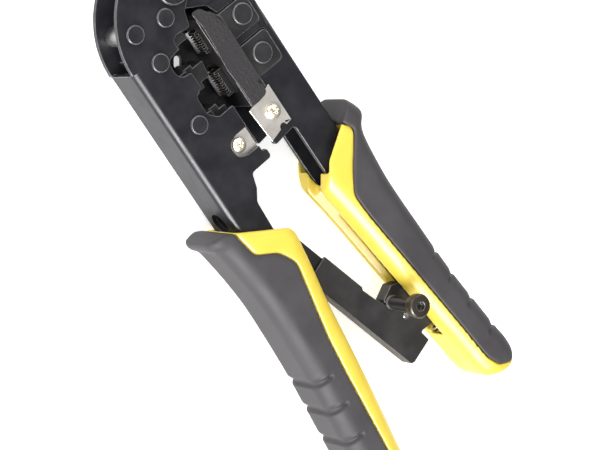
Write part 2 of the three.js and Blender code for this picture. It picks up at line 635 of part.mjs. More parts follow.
function releaseStud() {
  const base = LINK_HALF + 0.25;
  return turned([
    [0, base], [2.9, base], [2.9, base + 0.5], [2.5, base + 0.9], [2.5, STUD_TOP], [0, STUD_TOP],
  ], KNOB_AT, RIVET_SIDES);
}

function releaseKnob() {
  const low = STUD_TOP + 0.05;
  const high = low + 4.2;
  const knob = turned([
    [0, low], [4.1, low], [4.75, low + 0.6], [4.75, high - 1.1], [4.4, high - 0.4],
    [3.7, high], [0, high],
  ], KNOB_AT);
  return cut(knob, drum(KNOB_AT, 1.9, low + 2.2, high + 1, 6));
}

// ---- Springs ----
class Coil extends THREE.Curve {
  constructor(from, to, radius, turns) {
    super();
    Object.assign(this, { from, to, radius, turns });
    this.axis = to.clone().sub(from).normalize();
    this.side = new THREE.Vector3(0, 0, 1).cross(this.axis);
    if (this.side.lengthSq() < 0.01) this.side.set(1, 0, 0);
    this.side.normalize();
    this.up = this.axis.clone().cross(this.side);
  }

  getPoint(t, target = new THREE.Vector3()) {
    const angle = t * this.turns * Math.PI * 2;
    return target.copy(this.from).lerp(this.to, t)
      .addScaledVector(this.side, this.radius * Math.cos(angle))
      .addScaledVector(this.up, this.radius * Math.sin(angle));
  }
}

function wireSection(radius, sides) {
  return new THREE.Shape(arc([0, 0], radius, 0, 360 - 360 / sides, sides - 1)
    .map(([x, y]) => new THREE.Vector2(x, y)));
}

function coilSpring({ from, to, radius, turns, wire, stepsPerTurn = 12 }) {
  const path = new Coil(new THREE.Vector3(...from), new THREE.Vector3(...to), radius, turns);
  return toSolid(new THREE.ExtrudeGeometry(wireSection(wire, 6), {
    steps: turns * stepsPerTurn, extrudePath: path, bevelEnabled: false,
  }));
}

const openingSpring = () =>
  coilSpring({ from: [0, 0, -4.4], to: [0, 0, 4.4], radius: 5.5, turns: 5, wire: 0.7 });
const linkSpring = () => coilSpring({
  from: [20.5, -173.9, 0], to: [27.2, -190.2, 0], radius: 1.8, turns: 8, wire: 0.4,
});

function pawlSpring() {
  const [x0, y0] = onBar([61.9, 15.2]);
  const [x1, y1] = onBar([65.2, 15.9]);
  return coilSpring({
    from: [x0, y0, 0], to: [x1, y1, 0], radius: 1.3, turns: 3, wire: 0.25,
  });
}

// ---- Assembly ----
const tool = new THREE.Group();

function place(parent, name, solid, material) {
  const mesh = new THREE.Mesh(toGeometry(solid), material);
  mesh.name = name;
  parent.add(mesh);
}

function fixedArm() {
  const arm = new THREE.Group();
  place(arm, 'fixed_frame', fixedFrame(), black);
  place(arm, 'pivot_pin', pivotPin(), black);
  FRAME_RIVETS.forEach((at, index) => {
    place(arm, `frame_rivet_${index + 1}`, rivet(at, OUTER_FACE, -OUTER_FACE, 3.6), black);
  });
  place(arm, 'frame_spacer', frameSpacer(), spring_steel);
  place(arm, 'nest_die', nestDie(), black_die);
  place(arm, 'blade_block', bladeBlock(), black_die);
  place(arm, 'stripper_blade', stripperBlade(), bright);
  place(arm, 'stripper_screw', screw(SCREW_AT.left, OUTER_FACE - SHEET - 0.1, 8), plated);
  place(arm, 'left_handle_core', leftHandle.core, yellow);
  place(arm, 'left_grip', leftHandle.grip, grey);
  place(arm, 'ratchet_bar_pin', drum(BAR_PIVOT, 1.5, -OUTER_FACE, OUTER_FACE, 20), spring_steel);
  return arm;
}

function movingArm() {
  const arm = new THREE.Group();
  place(arm, 'moving_frame', movingFrame(), black);
  place(arm, 'die_carrier', dieCarrier(), black_die);
  place(arm, 'die_face_plate', dieFacePlate(), black_die);
  DIE_RIVETS.forEach((at, index) => {
    place(arm, `die_rivet_${index + 1}`, rivet(at, PAD_FRONT, -INNER_FACE, 4.2), black);
  });
  place(arm, 'contact_punch_6', contactPunch(SIX_WAY_Y, 9.3, -0.2, 6), bright);
  place(arm, 'contact_punch_8', contactPunch(EIGHT_WAY_Y, 10.6, -2.2, 8), bright);
  place(arm, 'strain_punch_6', strainPunch(SIX_WAY_Y, 9.3, -0.2), spring_steel);
  place(arm, 'strain_punch_8', strainPunch(EIGHT_WAY_Y, 10.6, -2.2), spring_steel);
  place(arm, 'cutter_blade', cutterBlade(), bright);
  place(arm, 'cutter_screw', screw(SCREW_AT.right, CARRIER_FRONT + 0.05, 6), plated);
  place(arm, 'right_handle_core', rightHandle.core, yellow);
  place(arm, 'right_grip', rightHandle.grip, grey);
  place(arm, 'housing_pin', drum(HOUSING_PIVOT, 2, -INNER_FACE, INNER_FACE, 20), spring_steel);
  place(arm, 'opening_spring', openingSpring(), spring_steel);
  place(arm, 'link_spring', linkSpring(), spring_steel);
  return arm;
}

function ratchet() {
  const group = new THREE.Group();
  place(group, 'ratchet_bar', ratchetBar(), black_die);
  place(group, 'ratchet_housing', ratchetHousing(), black);
  place(group, 'housing_guide', housingGuide(), black_die);
  place(group, 'pawl_pin', drum(PAWL_PIVOT, 1.2, -LINK_HALF, LINK_HALF, 16), spring_steel);
  place(group, 'ratchet_pawl', ratchetPawl(), black_die);
  place(group, 'pawl_spring', pawlSpring(), spring_steel);
  place(group, 'release_stud', releaseStud(), black);
  place(group, 'release_knob', releaseKnob(), black);
  return group;
}

tool.add(fixedArm(), movingArm(), ratchet());

const bounds = new THREE.Box3().setFromObject(tool);
const middle = bounds.getCenter(new THREE.Vector3());
tool.position.set(-middle.x, -middle.y, -bounds.min.z);

export default tool;
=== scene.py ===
"""The looks of a ratchet crimping tool for modular plugs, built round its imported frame.

Blender 4.5, in metres, in the row frame.  Shapes of the tool are written in millimetres in the tool's
own frame, whose origin is on the main pivot's axis at mid-thickness, with X towards the moving arm, Y
towards the head and Z out of the front face.  point() turns them into the row frame.
"""
import json
import math

import bmesh
import bpy
import numpy as np
from mathutils import Matrix, Vector


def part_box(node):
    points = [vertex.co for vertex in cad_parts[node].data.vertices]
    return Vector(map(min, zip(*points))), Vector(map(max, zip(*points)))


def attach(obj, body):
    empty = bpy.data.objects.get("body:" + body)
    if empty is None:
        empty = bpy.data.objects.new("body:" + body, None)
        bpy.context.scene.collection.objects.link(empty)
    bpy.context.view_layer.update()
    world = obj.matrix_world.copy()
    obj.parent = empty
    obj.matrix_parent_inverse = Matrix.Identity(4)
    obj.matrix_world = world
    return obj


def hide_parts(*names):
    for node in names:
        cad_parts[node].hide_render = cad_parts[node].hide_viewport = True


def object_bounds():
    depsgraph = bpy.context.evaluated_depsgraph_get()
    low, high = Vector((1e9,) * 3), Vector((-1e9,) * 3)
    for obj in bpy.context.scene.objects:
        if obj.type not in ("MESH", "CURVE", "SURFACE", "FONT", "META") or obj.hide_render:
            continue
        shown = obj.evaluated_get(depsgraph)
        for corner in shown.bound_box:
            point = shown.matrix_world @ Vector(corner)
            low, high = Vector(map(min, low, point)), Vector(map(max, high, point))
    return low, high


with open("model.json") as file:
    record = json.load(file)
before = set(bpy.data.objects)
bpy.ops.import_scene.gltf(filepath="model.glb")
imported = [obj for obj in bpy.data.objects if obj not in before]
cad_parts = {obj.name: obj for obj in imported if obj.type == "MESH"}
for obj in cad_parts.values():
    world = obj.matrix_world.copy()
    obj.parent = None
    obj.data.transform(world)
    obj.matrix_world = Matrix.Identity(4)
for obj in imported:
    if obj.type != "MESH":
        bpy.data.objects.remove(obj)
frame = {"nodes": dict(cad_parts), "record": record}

cad_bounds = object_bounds()

MM = 0.001
pin_low, pin_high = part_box("pivot_pin")
PIVOT = (pin_low + pin_high) / 2
FLOOR_LEVEL = cad_bounds[0].z

BODY_OF = {
    name: body for body, names in frame["record"]["behaviour"]["bodies"].items() for name in names
}


def point(x, y, z=0.0):
    """A place given in millimetres in the tool's frame, in metres in the row frame."""
    return PIVOT + MM * Vector((x, y, z))


def direction(azimuth, elevation):
    """Unit vector towards a viewer or a light; azimuth 0 is in front (-Y) and 90 is towards +X."""
    a, e = math.radians(azimuth), math.radians(elevation)
    return Vector((math.sin(a) * math.cos(e), -math.cos(a) * math.cos(e), math.sin(e)))


# ---- Camera, floor and light ----
VIEW_AZIMUTH = 227.5
VIEW_ELEVATION = 60.0
VIEW_ROLL = 95.2                # the head is up in the picture, so the camera is turned on its side
VIEW_DISTANCE = 0.8
VIEW_AIM = point(-4.75, -105.08)
LENS = 126.7
SENSOR = 36.0
CLIP = (0.02, 20.0)
SKY_STRENGTH = 0.38
FLOOR_HALF = 4.0
FLOOR_GLOW = 0.62               # the floor is a light table, so the tool casts only pale shadows


def make_camera():
    data = bpy.data.cameras.new("camera")
    data.lens = LENS
    data.sensor_width = SENSOR
    data.clip_start, data.clip_end = CLIP
    camera = bpy.data.objects.new("camera", data)
    bpy.context.scene.collection.objects.link(camera)
    back = direction(VIEW_AZIMUTH, VIEW_ELEVATION)
    upright = back.to_track_quat("Z", "Y").to_matrix().to_4x4()
    roll = Matrix.Rotation(math.radians(VIEW_ROLL), 4, "Z")
    camera.matrix_world = Matrix.Translation(VIEW_AIM + VIEW_DISTANCE * back) @ upright @ roll
    bpy.context.scene.camera = camera


# Each light: name, azimuth, elevation, distance, (width, height), power, whether it lights matt
# surfaces.  The rim light shows only as a reflection, along the folded edge of the fixed arm.
LIGHTS = [
    ("key", 293, 23, 1.6, (1.5, 0.8), 26, True),
    ("head_light", 188, 38, 1.5, (1.2, 0.8), 15, True),
    ("rim_light", 299, 42, 1.5, (0.7, 1.1), 80, False),
    ("side_light", 120, 40, 1.7, (1.0, 0.8), 8, True),
    ("top_light", 300, 68, 1.6, (1.0, 0.8), 6, True),
]


def make_light(name, azimuth, elevation, distance, size, power, diffuse):
    data = bpy.data.lights.new(name, "AREA")
    data.shape = "RECTANGLE"
    data.size, data.size_y = size
    data.energy = power
    light = bpy.data.objects.new(name, data)
    bpy.context.scene.collection.objects.link(light)
    light.visible_diffuse = diffuse
    back = direction(azimuth, elevation)
    light.matrix_world = Matrix.Translation(VIEW_AIM + distance * back) @ (
        back.to_track_quat("Z", "Y").to_matrix().to_4x4()
    )


def make_studio():
    world = bpy.data.worlds.new("studio")
    world.use_nodes = True
    sky = world.node_tree.nodes["Background"]
    sky.inputs["Color"].default_value = (1, 1, 1, 1)
    sky.inputs["Strength"].default_value = SKY_STRENGTH
    bpy.context.scene.world = world
    bpy.context.scene.view_settings.view_transform = "Standard"
    for light in LIGHTS:
        make_light(*light)
    make_floor()


def make_floor():
    mesh = bpy.data.meshes.new("floor")
    corners = [
        (x * FLOOR_HALF, y * FLOOR_HALF, FLOOR_LEVEL) for x, y in ((-1, -1), (1, -1), (1, 1), (-1, 1))
    ]
    mesh.from_pydata(corners, [], [(0, 1, 2, 3)])
    floor = bpy.data.objects.new("floor", mesh)
    bpy.context.scene.collection.objects.link(floor)
    mesh.materials.append(pale_floor())


# ---- Materials ----
def connect(tree, made, inputs):
    """Sets a node's inputs, each to a value or to another node's output."""
    for socket, value in inputs.items():
        if isinstance(value, bpy.types.NodeSocket):
            tree.links.new(value, made.inputs[socket])
        else:
            made.inputs[socket].default_value = value


def node(tree, kind, inputs, **settings):
    """A shader node with its settings and inputs."""
    made = tree.nodes.new(kind)
    for key, value in settings.items():
        setattr(made, key, value)
    connect(tree, made, inputs)
    return made


def empty_material(name):
    """A material with only a Principled shader, its tree, and its object coordinates."""
    made = bpy.data.materials.new(name)
    made.use_nodes = True
    tree = made.node_tree
    shader = tree.nodes["Principled BSDF"]
    place = tree.nodes.new("ShaderNodeTexCoord").outputs["Object"]
    return made, tree, shader, place


def noise(tree, place, scale, detail=3.0, stretch=None, turn=0.0):
    """Noise with features about 1/scale metres across; stretch squeezes the coordinates per axis."""
    if stretch:
        place = node(tree, "ShaderNodeMapping", {
            "Vector": place, "Scale": stretch, "Rotation": (0, 0, math.radians(turn)),
        }, vector_type="TEXTURE").outputs["Vector"]
    return node(tree, "ShaderNodeTexNoise", {
        "Vector": place, "Scale": scale, "Detail": detail, "Roughness": 0.6,
    }).outputs["Fac"]


def spread(tree, value, low, high, to_low, to_high):
    """Maps low..high of a value onto another range, clamped."""
    return node(tree, "ShaderNodeMapRange", {
        "Value": value, "From Min": low, "From Max": high, "To Min": to_low, "To Max": to_high,
    }).outputs["Result"]


def patches(tree, place, scale, detail, limits, stretch=None, turn=0.0):
    """Noise as patches: 0 where it is below the limits and 1 where it is above them."""
    return spread(tree, noise(tree, place, scale, detail, stretch, turn), *limits, 0, 1)


def blend_colours(tree, share, first, second):
    """Mixes two colours, each an (r, g, b) or another node's output."""
    ends = [
        value if isinstance(value, bpy.types.NodeSocket) else (*value, 1) for value in (first, second)
    ]
    mixer = node(tree, "ShaderNodeMix", {0: share, 6: ends[0], 7: ends[1]}, data_type="RGBA")
    return mixer.outputs[2]


def product(tree, first, second):
    return node(tree, "ShaderNodeMath", {0: first, 1: second}, operation="MULTIPLY").outputs[0]


def bumped(tree, shader, *layers):
    """Stacks bump layers, each a (height value, depth in metres) pair, onto the shader's normal."""
    normal = None
    for height, depth in layers:
        inputs = {"Height": height, "Distance": depth, "Strength": 1.0}
        if normal:
            inputs["Normal"] = normal
        normal = node(tree, "ShaderNodeBump", inputs).outputs["Normal"]
    tree.links.new(normal, shader.inputs["Normal"])


def pale_floor():
    made, tree, shader, place = empty_material("pale_floor")
    tone = patches(tree, place, 3, 3, (0.3, 0.7))
    colour = blend_colours(tree, tone, (0.93, 0.93, 0.93), (0.95, 0.95, 0.95))
    connect(tree, shader, {
        "Base Color": colour, "Emission Color": colour, "Emission Strength": FLOOR_GLOW,
        "Roughness": 0.9, "Specular IOR Level": 0.1,
    })
    return made


WEAR_AND_HIGHLIGHT_SHARE = 0.6                # how much of the lighter edge colour shows at most; it is partly rubbed wear, partly a painted edge highlight
WORN_AND_HIGHLIT_ROUGH = 0.28


def steel(name, dark, light, worn_and_highlit, rough, specular=0.5, metallic=0.0, grain=2600, depth=3e-6):
    """Finished steel: mottled, finely grained and a little scuffed, with its bevelled edges painted
    lighter, partly as rubbed wear and partly as a painted highlight.

    grain is the fine noise's scale, and depth is its height in metres.
    """
    made, tree, shader, place = empty_material(name)
    mottle = patches(tree, place, 90, 4, (0.35, 0.65))
    scuff = patches(tree, place, 420, 5, (0.56, 0.74), (1, 0.12, 1), 20)
    # The bevels are painted lighter here: partly rubbed wear, partly a painted edge highlight.
    edge = node(tree, "ShaderNodeAttribute", {}, attribute_name="wear_and_highlight").outputs["Fac"]
    uneven = spread(tree, noise(tree, place, 350, 4), 0.3, 0.62, 0.25, WEAR_AND_HIGHLIGHT_SHARE)
    rubbed_and_highlit = product(tree, edge, uneven)
    colour = blend_colours(tree, mottle, dark, light)
    body = spread(tree, mottle, 0, 1, rough - 0.05, rough + 0.06)
    extra = product(tree, scuff, 0.1)
    scuffed = node(tree, "ShaderNodeMath", {0: body, 1: extra}, operation="ADD").outputs[0]
    connect(tree, shader, {
        "Base Color": blend_colours(tree, rubbed_and_highlit, colour, worn_and_highlit),
        "Roughness": node(tree, "ShaderNodeMix", {0: rubbed_and_highlit, 2: scuffed, 3: WORN_AND_HIGHLIT_ROUGH}).outputs[0],
        "Metallic": metallic,
        "Specular IOR Level": specular,
    })
    bumped(tree, shader, (noise(tree, place, grain, 3), depth), (scuff, 2e-6))
    return made


def rugged_steel(name, dark, light, rough):
    """Blackened steel with a coarse pitted and raised grain that fades out around its middle."""
    made, tree, shader, place = empty_material(name)
    low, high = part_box("die_face_plate")
    centre = (low + high) / 2
    offset = node(tree, "ShaderNodeVectorMath", {0: place, 1: centre}, operation="SUBTRACT")
    distance = node(tree, "ShaderNodeVectorMath", {0: offset.outputs["Vector"]}, operation="LENGTH")
    rugged = spread(tree, distance.outputs["Value"], 0.003, 0.006, 0.15, 1)
    bumps = node(tree, "ShaderNodeTexVoronoi", {"Vector": place, "Scale": 950.0}, feature="SMOOTH_F1")
    grain = product(tree, bumps.outputs["Distance"], rugged)
    fine = noise(tree, place, 2600, 4)
    connect(tree, shader, {
        "Base Color": blend_colours(tree, spread(tree, fine, 0.35, 0.65, 0, 1), dark, light),
        "Roughness": spread(tree, fine, 0.3, 0.7, rough - 0.08, rough + 0.1),
        "Specular IOR Level": 0.45,
    })
    bumped(tree, shader, (grain, 1.6e-4), (fine, 2.5e-5))
    return made


def brushed_steel(name, base, shade, turn, rough):
    """Ground blade steel with fine grinding lines one way and a few longer scratches."""
    made, tree, shader, place = empty_material(name)
    lines = noise(tree, place, 2400, 2, (1, 0.03, 1), turn)
    scratch = patches(tree, place, 700, 3, (0.6, 0.72), (1, 0.06, 1), turn + 18)
    cloud = patches(tree, place, 160, 4, (0.35, 0.7))
    connect(tree, shader, {
        "Base Color": blend_colours(tree, cloud, base, shade),
        "Roughness": spread(tree, lines, 0.3, 0.7, rough - 0.07, rough + 0.12),
        "Metallic": 1.0,
    })
    bumped(tree, shader, (lines, 4e-6), (scratch, 5e-6))
    return made


def moulded_plastic(name, base, shade, rough):
    """Moulded plastic with a faint satin grain, slow flow marks and small scuffs."""
    made, tree, shader, place = empty_material(name)
    flow = patches(tree, place, 45, 3, (0.3, 0.7), (1, 0.35, 1))
    scuff = patches(tree, place, 900, 4, (0.62, 0.75), (1, 0.2, 1), 35)
    connect(tree, shader, {
        "Base Color": blend_colours(tree, flow, base, shade),
        "Roughness": spread(tree, scuff, 0, 1, rough, rough + 0.16),
        "Specular IOR Level": 0.45,
    })
    bumped(tree, shader, (noise(tree, place, 1500, 3), 8e-6), (scuff, 3e-6))
    return made


def moulded_rubber(name, base, shade, rough):
    """Soft moulded rubber: a fine pebbled grain, dusty patches and a broad dull sheen."""
    made, tree, shader, place = empty_material(name)
    dust = patches(tree, place, 70, 5, (0.35, 0.68))
    pebble = node(tree, "ShaderNodeTexVoronoi", {"Vector": place, "Scale": 2600.0}).outputs["Distance"]
    connect(tree, shader, {
        "Base Color": blend_colours(tree, dust, base, shade),
        "Roughness": spread(tree, dust, 0, 1, rough - 0.05, rough + 0.08),
        "Specular IOR Level": 0.25,
        "Sheen Weight": 0.04,
        "Sheen Roughness": 0.5,
    })
    bumped(tree, shader, (pebble, 2.2e-5), (noise(tree, place, 700, 3), 1.5e-5))
    return made


# Each steel's worn colour paints its bevelled edges lighter: partly rubbed wear, partly a painted edge
# highlight.
BLACK_STEEL = steel(
    "black_steel", dark=(0.011, 0.011, 0.014), light=(0.018, 0.018, 0.022),
    worn_and_highlit=(0.24, 0.23, 0.24), rough=0.36, specular=0.3,
)
HOUSING_STEEL = steel(
    "housing_steel", dark=(0.022, 0.021, 0.022), light=(0.034, 0.032, 0.033),
    worn_and_highlit=(0.2, 0.19, 0.2), rough=0.4, specular=0.4,
)
DIE_STEEL = steel(
    "die_steel", dark=(0.010, 0.009, 0.010), light=(0.022, 0.020, 0.021),
    worn_and_highlit=(0.26, 0.24, 0.24), rough=0.44, specular=0.35, grain=1500, depth=1.2e-5,
)
RUGGED_STEEL = rugged_steel(
    "rugged_steel", dark=(0.020, 0.018, 0.020), light=(0.042, 0.039, 0.041), rough=0.4,
)
PUNCH_STEEL = steel(
    "punch_steel", dark=(0.006, 0.006, 0.006), light=(0.012, 0.011, 0.011),
    worn_and_highlit=(0.45, 0.42, 0.4), rough=0.4, specular=0.3,
)
BROWN_STEEL = steel(
    "brown_steel", dark=(0.018, 0.009, 0.005), light=(0.035, 0.018, 0.011),
    worn_and_highlit=(0.2, 0.16, 0.12), rough=0.45,
)
RAISED_STEEL = steel(
    "raised_steel", dark=(0.014, 0.014, 0.017), light=(0.024, 0.024, 0.028),
    worn_and_highlit=(0.32, 0.32, 0.34), rough=0.34, specular=0.4,
)
PLATED_STEEL = steel(
    "plated_steel", dark=(0.62, 0.56, 0.42), light=(0.78, 0.73, 0.6),
    worn_and_highlit=(0.9, 0.87, 0.8), rough=0.3, metallic=1.0, grain=1200, depth=2e-6,
)
SPRING_STEEL = steel(
    "spring_steel", dark=(0.30, 0.29, 0.28), light=(0.40, 0.39, 0.38),
    worn_and_highlit=(0.6, 0.6, 0.6), rough=0.3, metallic=1.0,
)
BLADE_STEEL = brushed_steel(
    "blade_steel", base=(0.80, 0.76, 0.72), shade=(0.62, 0.58, 0.53), turn=10, rough=0.36,
)
YELLOW_PLASTIC = moulded_plastic(
    "yellow_plastic", base=(0.88, 0.68, 0.09), shade=(0.85, 0.64, 0.07), rough=0.36,
)
GREY_RUBBER = moulded_rubber(
    "grey_rubber", base=(0.048, 0.045, 0.048), shade=(0.062, 0.058, 0.061), rough=0.62,
)
BLACK_KNOB = steel(
    "black_knob", dark=(0.022, 0.016, 0.011), light=(0.036, 0.026, 0.018),
    worn_and_highlit=(0.2, 0.18, 0.17), rough=0.3,
)

FINISH_OF_SLOT = {
    "black_steel": BLACK_STEEL, "die_steel": DIE_STEEL, "plated_steel": PLATED_STEEL,
    "spring_steel": SPRING_STEEL, "blade_steel": BLADE_STEEL, "yellow_plastic": YELLOW_PLASTIC,
    "grey_rubber": GREY_RUBBER, "black_plastic": BLACK_KNOB,
}


# ---- Mesh work ----
def new_object(name, mesh):
    made = bpy.data.objects.new(name, mesh)
    bpy.context.scene.collection.objects.link(made)
    return made


def settle(obj):
    """Turns an object's modifiers into its mesh."""
    graph = bpy.context.evaluated_depsgraph_get()
    mesh = bpy.data.meshes.new_from_object(obj.evaluated_get(graph))
    old = obj.data
    obj.modifiers.clear()
    obj.data = mesh
    bpy.data.meshes.remove(old)


def rework(obj, work):
    """Runs work(bmesh) on an object's mesh."""
    mesh = bmesh.new()
    mesh.from_mesh(obj.data)
    work(mesh)
    mesh.to_mesh(obj.data)
    mesh.free()


def in_tool(place):
    """A place of the row frame, in millimetres in the tool's frame."""
    return (place - PIVOT) / MM


SAME_PLACE = 1e-6               # metres
FLAT = math.radians(0.4)        # faces that meet within this angle are joined
BUSY_FACE = 100                 # a face with more corners than this is cut into triangles again
FOLD_SEGMENTS = 8
EDGE_SEGMENTS = 2
STORED_LAYERS = ("custom_normal", "sharp_edge", "sharp_face")
SLOT_OF = {part["node"]: part["material_slot"] for part in frame["record"]["subparts"]}


def join_flat_faces(mesh):
    bmesh.ops.remove_doubles(mesh, verts=mesh.verts, dist=SAME_PLACE)
    bmesh.ops.dissolve_limit(mesh, angle_limit=FLAT, verts=mesh.verts, edges=mesh.edges)
    busy = [face for face in mesh.faces if len(face.verts) > BUSY_FACE]
    bmesh.ops.triangulate(mesh, faces=busy)


def fold_edges(obj, on_fold, radius):
    """Rounds the folds of bent sheet: the edges whose both ends pass on_fold(x, y, z)."""
    def mark(mesh):
        weight = mesh.edges.layers.float.new("bevel_weight_edge")
        for edge in mesh.edges:
            if all(on_fold(*in_tool(vertex.co)) for vertex in edge.verts):
                edge[weight] = 1.0

    rework(obj, mark)
    bevel = obj.modifiers.new("fold", "BEVEL")
    bevel.limit_method = "WEIGHT"
    bevel.width = radius * MM
    bevel.segments = FOLD_SEGMENTS
    bevel.use_clamp_overlap = False
    settle(obj)


def break_edges(obj, width, sharp):
    """Bevels the sharp edges, and marks the bevels with an attribute that the steels paint lighter, as
    rubbed wear and as a painted edge highlight.
    """
    obj.data.materials.clear()
    for _ in range(2):
        obj.data.materials.append(None)
    bevel = obj.modifiers.new("edges", "BEVEL")
    bevel.width = width * MM
    bevel.segments = EDGE_SEGMENTS
    bevel.limit_method = "ANGLE"
    bevel.angle_limit = sharp
    bevel.use_clamp_overlap = False
    bevel.material = 1
    obj.modifiers.new("shading", "WEIGHTED_NORMAL")
    settle(obj)
    mesh = obj.data
    worn_and_highlit = np.zeros(len(mesh.polygons), np.int32)
    mesh.polygons.foreach_get("material_index", worn_and_highlit)
    wear_and_highlight = mesh.attributes.new("wear_and_highlight", "FLOAT", "FACE")
    wear_and_highlight.data.foreach_set("value", worn_and_highlit.astype(np.float32))
    mesh.polygons.foreach_set("material_index", np.zeros(len(worn_and_highlit), np.int32))


def smooth(mesh):
    mesh.polygons.foreach_set("use_smooth", [True] * len(mesh.polygons))


def dress(obj, name, finish=None):
    """Gives a piece its material, which is its slot's finish unless a finish is given, and its body,
    and lets it stand for its CAD node.
    """
    slot = SLOT_OF[name]
    obj.data.materials.clear()
    obj.data.materials.append(finish or FINISH_OF_SLOT[slot])
    smooth(obj.data)
    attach(obj, BODY_OF[name])
    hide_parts(name)


def bare_copy(name):
    """A copy of a CAD node's mesh without its stored normals, with its flat faces joined."""
    mesh = frame["nodes"][name].data.copy()
    for layer in STORED_LAYERS:
        if layer in mesh.attributes:
            mesh.attributes.remove(mesh.attributes[layer])
    obj = new_object(f"{name}_fine", mesh)
    rework(obj, join_flat_faces)
    smooth(obj.data)
    return obj


def refined(name, finish=None, edge=0.25, sharp=40, fold=None, radius=0.0):
    """A CAD node's shape with broken edges and rounded folds, standing for that node.

    edge is the width of a broken edge, sharp the least angle in degrees at which an edge is broken,
    and radius the width of the folds that fold(x, y, z) picks.
    """
    obj = bare_copy(name)
    if fold:
        fold_edges(obj, fold, radius)
    break_edges(obj, edge, math.radians(sharp))
    dress(obj, name, finish)


# ---- Handles ----
RIGHT_HALF = 12.5               # half-thickness of the right handle
LEFT_HALF = 13.0
HANDLE_CORNER = 6.5             # corner radius of a handle's section
LEAST_FLAT = 0.5                # half-width of the flat left between the corners of a thin one
LEAST_CORE = 1                  # half-width that an inset leaves of a thin one
CORNER_STEPS = 12
FILLET_STEPS = 8                # on an outline's fillet
SKIN_SIDE = 3.0                 # a grip's thickness on the handle's outer side
SKIN_FACE = 1.4                 # a grip's thickness on the handle's front and back
BED_GAP = 0.15                  # between a grip and the plastic beneath it
SEAM = 0.4                      # between a grip's edge and the plastic beside it
LIP = 3.0                       # a grip covers the handle's mouth with a lip this thick
SLOT_HALF = 3.7                 # half-width of the handles' slots for the ratchet
THROUGH = 30.0                  # half-length of a cut that passes right through the tool
FRAME_END = -175.0              # the cavities for the arms end here
OUTER_FACE = 10.2               # half-width of the cavity for the fixed arm
INNER_FACE = 7.9                # half-width of the cavity for the moving arm
END_THINNING = (0.0, 0.45, 1.8, 4.05)   # taken off the half-thickness at the last stations
STATION_STEP = 0.8              # between the rings of a handle's skin
MOUTH_END = {"left": -103.0, "right": -97.0}   # above this y the mouth's edges are rounder,
MOUTH_FADE = 6                  # and less and less so over this length below it
VOXEL = 0.45                    # cell size of the moulded skin
EDGE_PASSES = 5                 # smoothing passes over a whole moulding
MOUTH_PASSES = 22               # further passes round its mouth
MOUTH_WALL = 1.5                # thickness of the right handle's faces round its open mouth
GROOVE_DEPTH = 1.3
GROOVE_WALL = (0.45, 1.25)      # a groove's wall starts and ends this far from its middle
SCALLOP_RISE = (0.2, 3.4)       # the soft upper side of a groove, further out
SCALLOP_START = (1, 6)          # how far out from the inner end it sets in
INNER_SIDE_START = (6.9, -95)   # the right handle's inner side runs straight down from this (x, y),
INNER_SIDE_LEAN = 8.2           # leaning outwards by these degrees

# Stations run down a handle: (y, inner side's x, outer side's x).
RIGHT_STATIONS = [
    (-70, 8.8, 32.5), (-76, 8, 36.2), (-80, 7.4, 38.2), (-84, 7, 38.9), (-87, 6.7, 36.3),
    (-90, 6.6, 35), (-94, 6.7, 34.3), (-100, 7.6, 33.7), (-110, 9.4, 33.1), (-122, 11.2, 33.3),
    (-135, 12.9, 33.9), (-150, 15, 34.6), (-162, 16.7, 35.5), (-175, 18.4, 37), (-188, 20.3, 38.5),
    (-197, 21.5, 39.7), (-201, 22.7, 39.3), (-203.4, 24.4, 38.2), (-205, 28, 36.4),
    (-205.8, 31.2, 34.6),
]
LEFT_STATIONS = [
    (-74, -12.6, -39), (-80, -12.1, -42.5), (-83, -11.9, -44.2), (-86, -11.6, -44.4),
    (-89, -11.4, -42.2), (-92, -11.2, -41.5), (-96, -11, -40.9), (-103, -11.2, -40),
    (-110, -12.2, -39.3), (-117, -13.2, -38.9), (-124, -14.4, -38.9), (-131, -15.6, -39.1),
    (-139, -16.6, -39.4), (-147, -17.5, -39.8), (-154, -18.3, -40.3), (-166, -19.8, -41.5),
    (-180, -21.7, -42.9), (-193, -23.7, -44.2), (-203, -25.6, -45.3), (-209, -28.6, -45.9),
    (-212.5, -32, -45.5), (-213.5, -34, -44.5),
]
# A grip's edge on the handle's face, from the mouth down to the tail; the grip lies outside it.
RIGHT_GRIP_EDGE = [
    (26, -62), (27, -80.5, 3), (30, -86.2, 3), (21.5, -96.4, 6), (15.2, -106, 8), (16, -116.5),
    (19.8, -145.5), (23.7, -175.6), (26, -194.7, 6), (28.8, -201, 4), (35.6, -204.2), (46, -206.4),
]
LEFT_GRIP_EDGE = [
    (-31, -62), (-33.3, -87, 3), (-31.2, -97.6, 4), (-22.8, -103, 7), (-19.2, -110.6, 7),
    (-20.6, -118, 8), (-22.4, -127), (-25.4, -142.6), (-27.2, -158.2), (-28.7, -174.4),
    (-30.3, -191.5), (-31, -200, 4), (-35.4, -205.6, 3), (-52, -205.6),
]
# Finger grooves: (y, inner end's x).
RIGHT_GROOVES = [(-147.5, 30), (-159, 30.6), (-172.5, 31.9), (-187.5, 33.4)]
LEFT_GROOVES = [(-154.5, -33.7), (-167, -34.6), (-181, -36.3), (-194, -37.6)]
# The parts of a handle's face that its open mouth takes away.
RIGHT_MOUTH = [
    (60, -75.5), (37, -74.6, 7), (14.5, -88.8, 3), (10.4, -94.4, 2.5), (6.4, -99.5), (0, -99.5),
    (0, -40), (60, -40),
]
LEFT_MOUTH = [
    (-60, -82.5), (-37, -83.6, 5), (-13.5, -98.7, 2.5), (-10.6, -105), (0, -105), (0, -40),
    (-60, -40),
]
# The cavities that the arms run down.
RIGHT_CAVITY = [
    (12, -60), (27.3, -60), (27.3, -100), (30.4, FRAME_END), (19.2, FRAME_END), (18, -150),
    (12.2, -95),
]
LEFT_CAVITY = [
    (-31.9, -60), (-31.9, FRAME_END), (-23.2, FRAME_END), (-18.5, -112.5), (-13.1, -110),
    (-13.1, -99), (-18, -60),
]
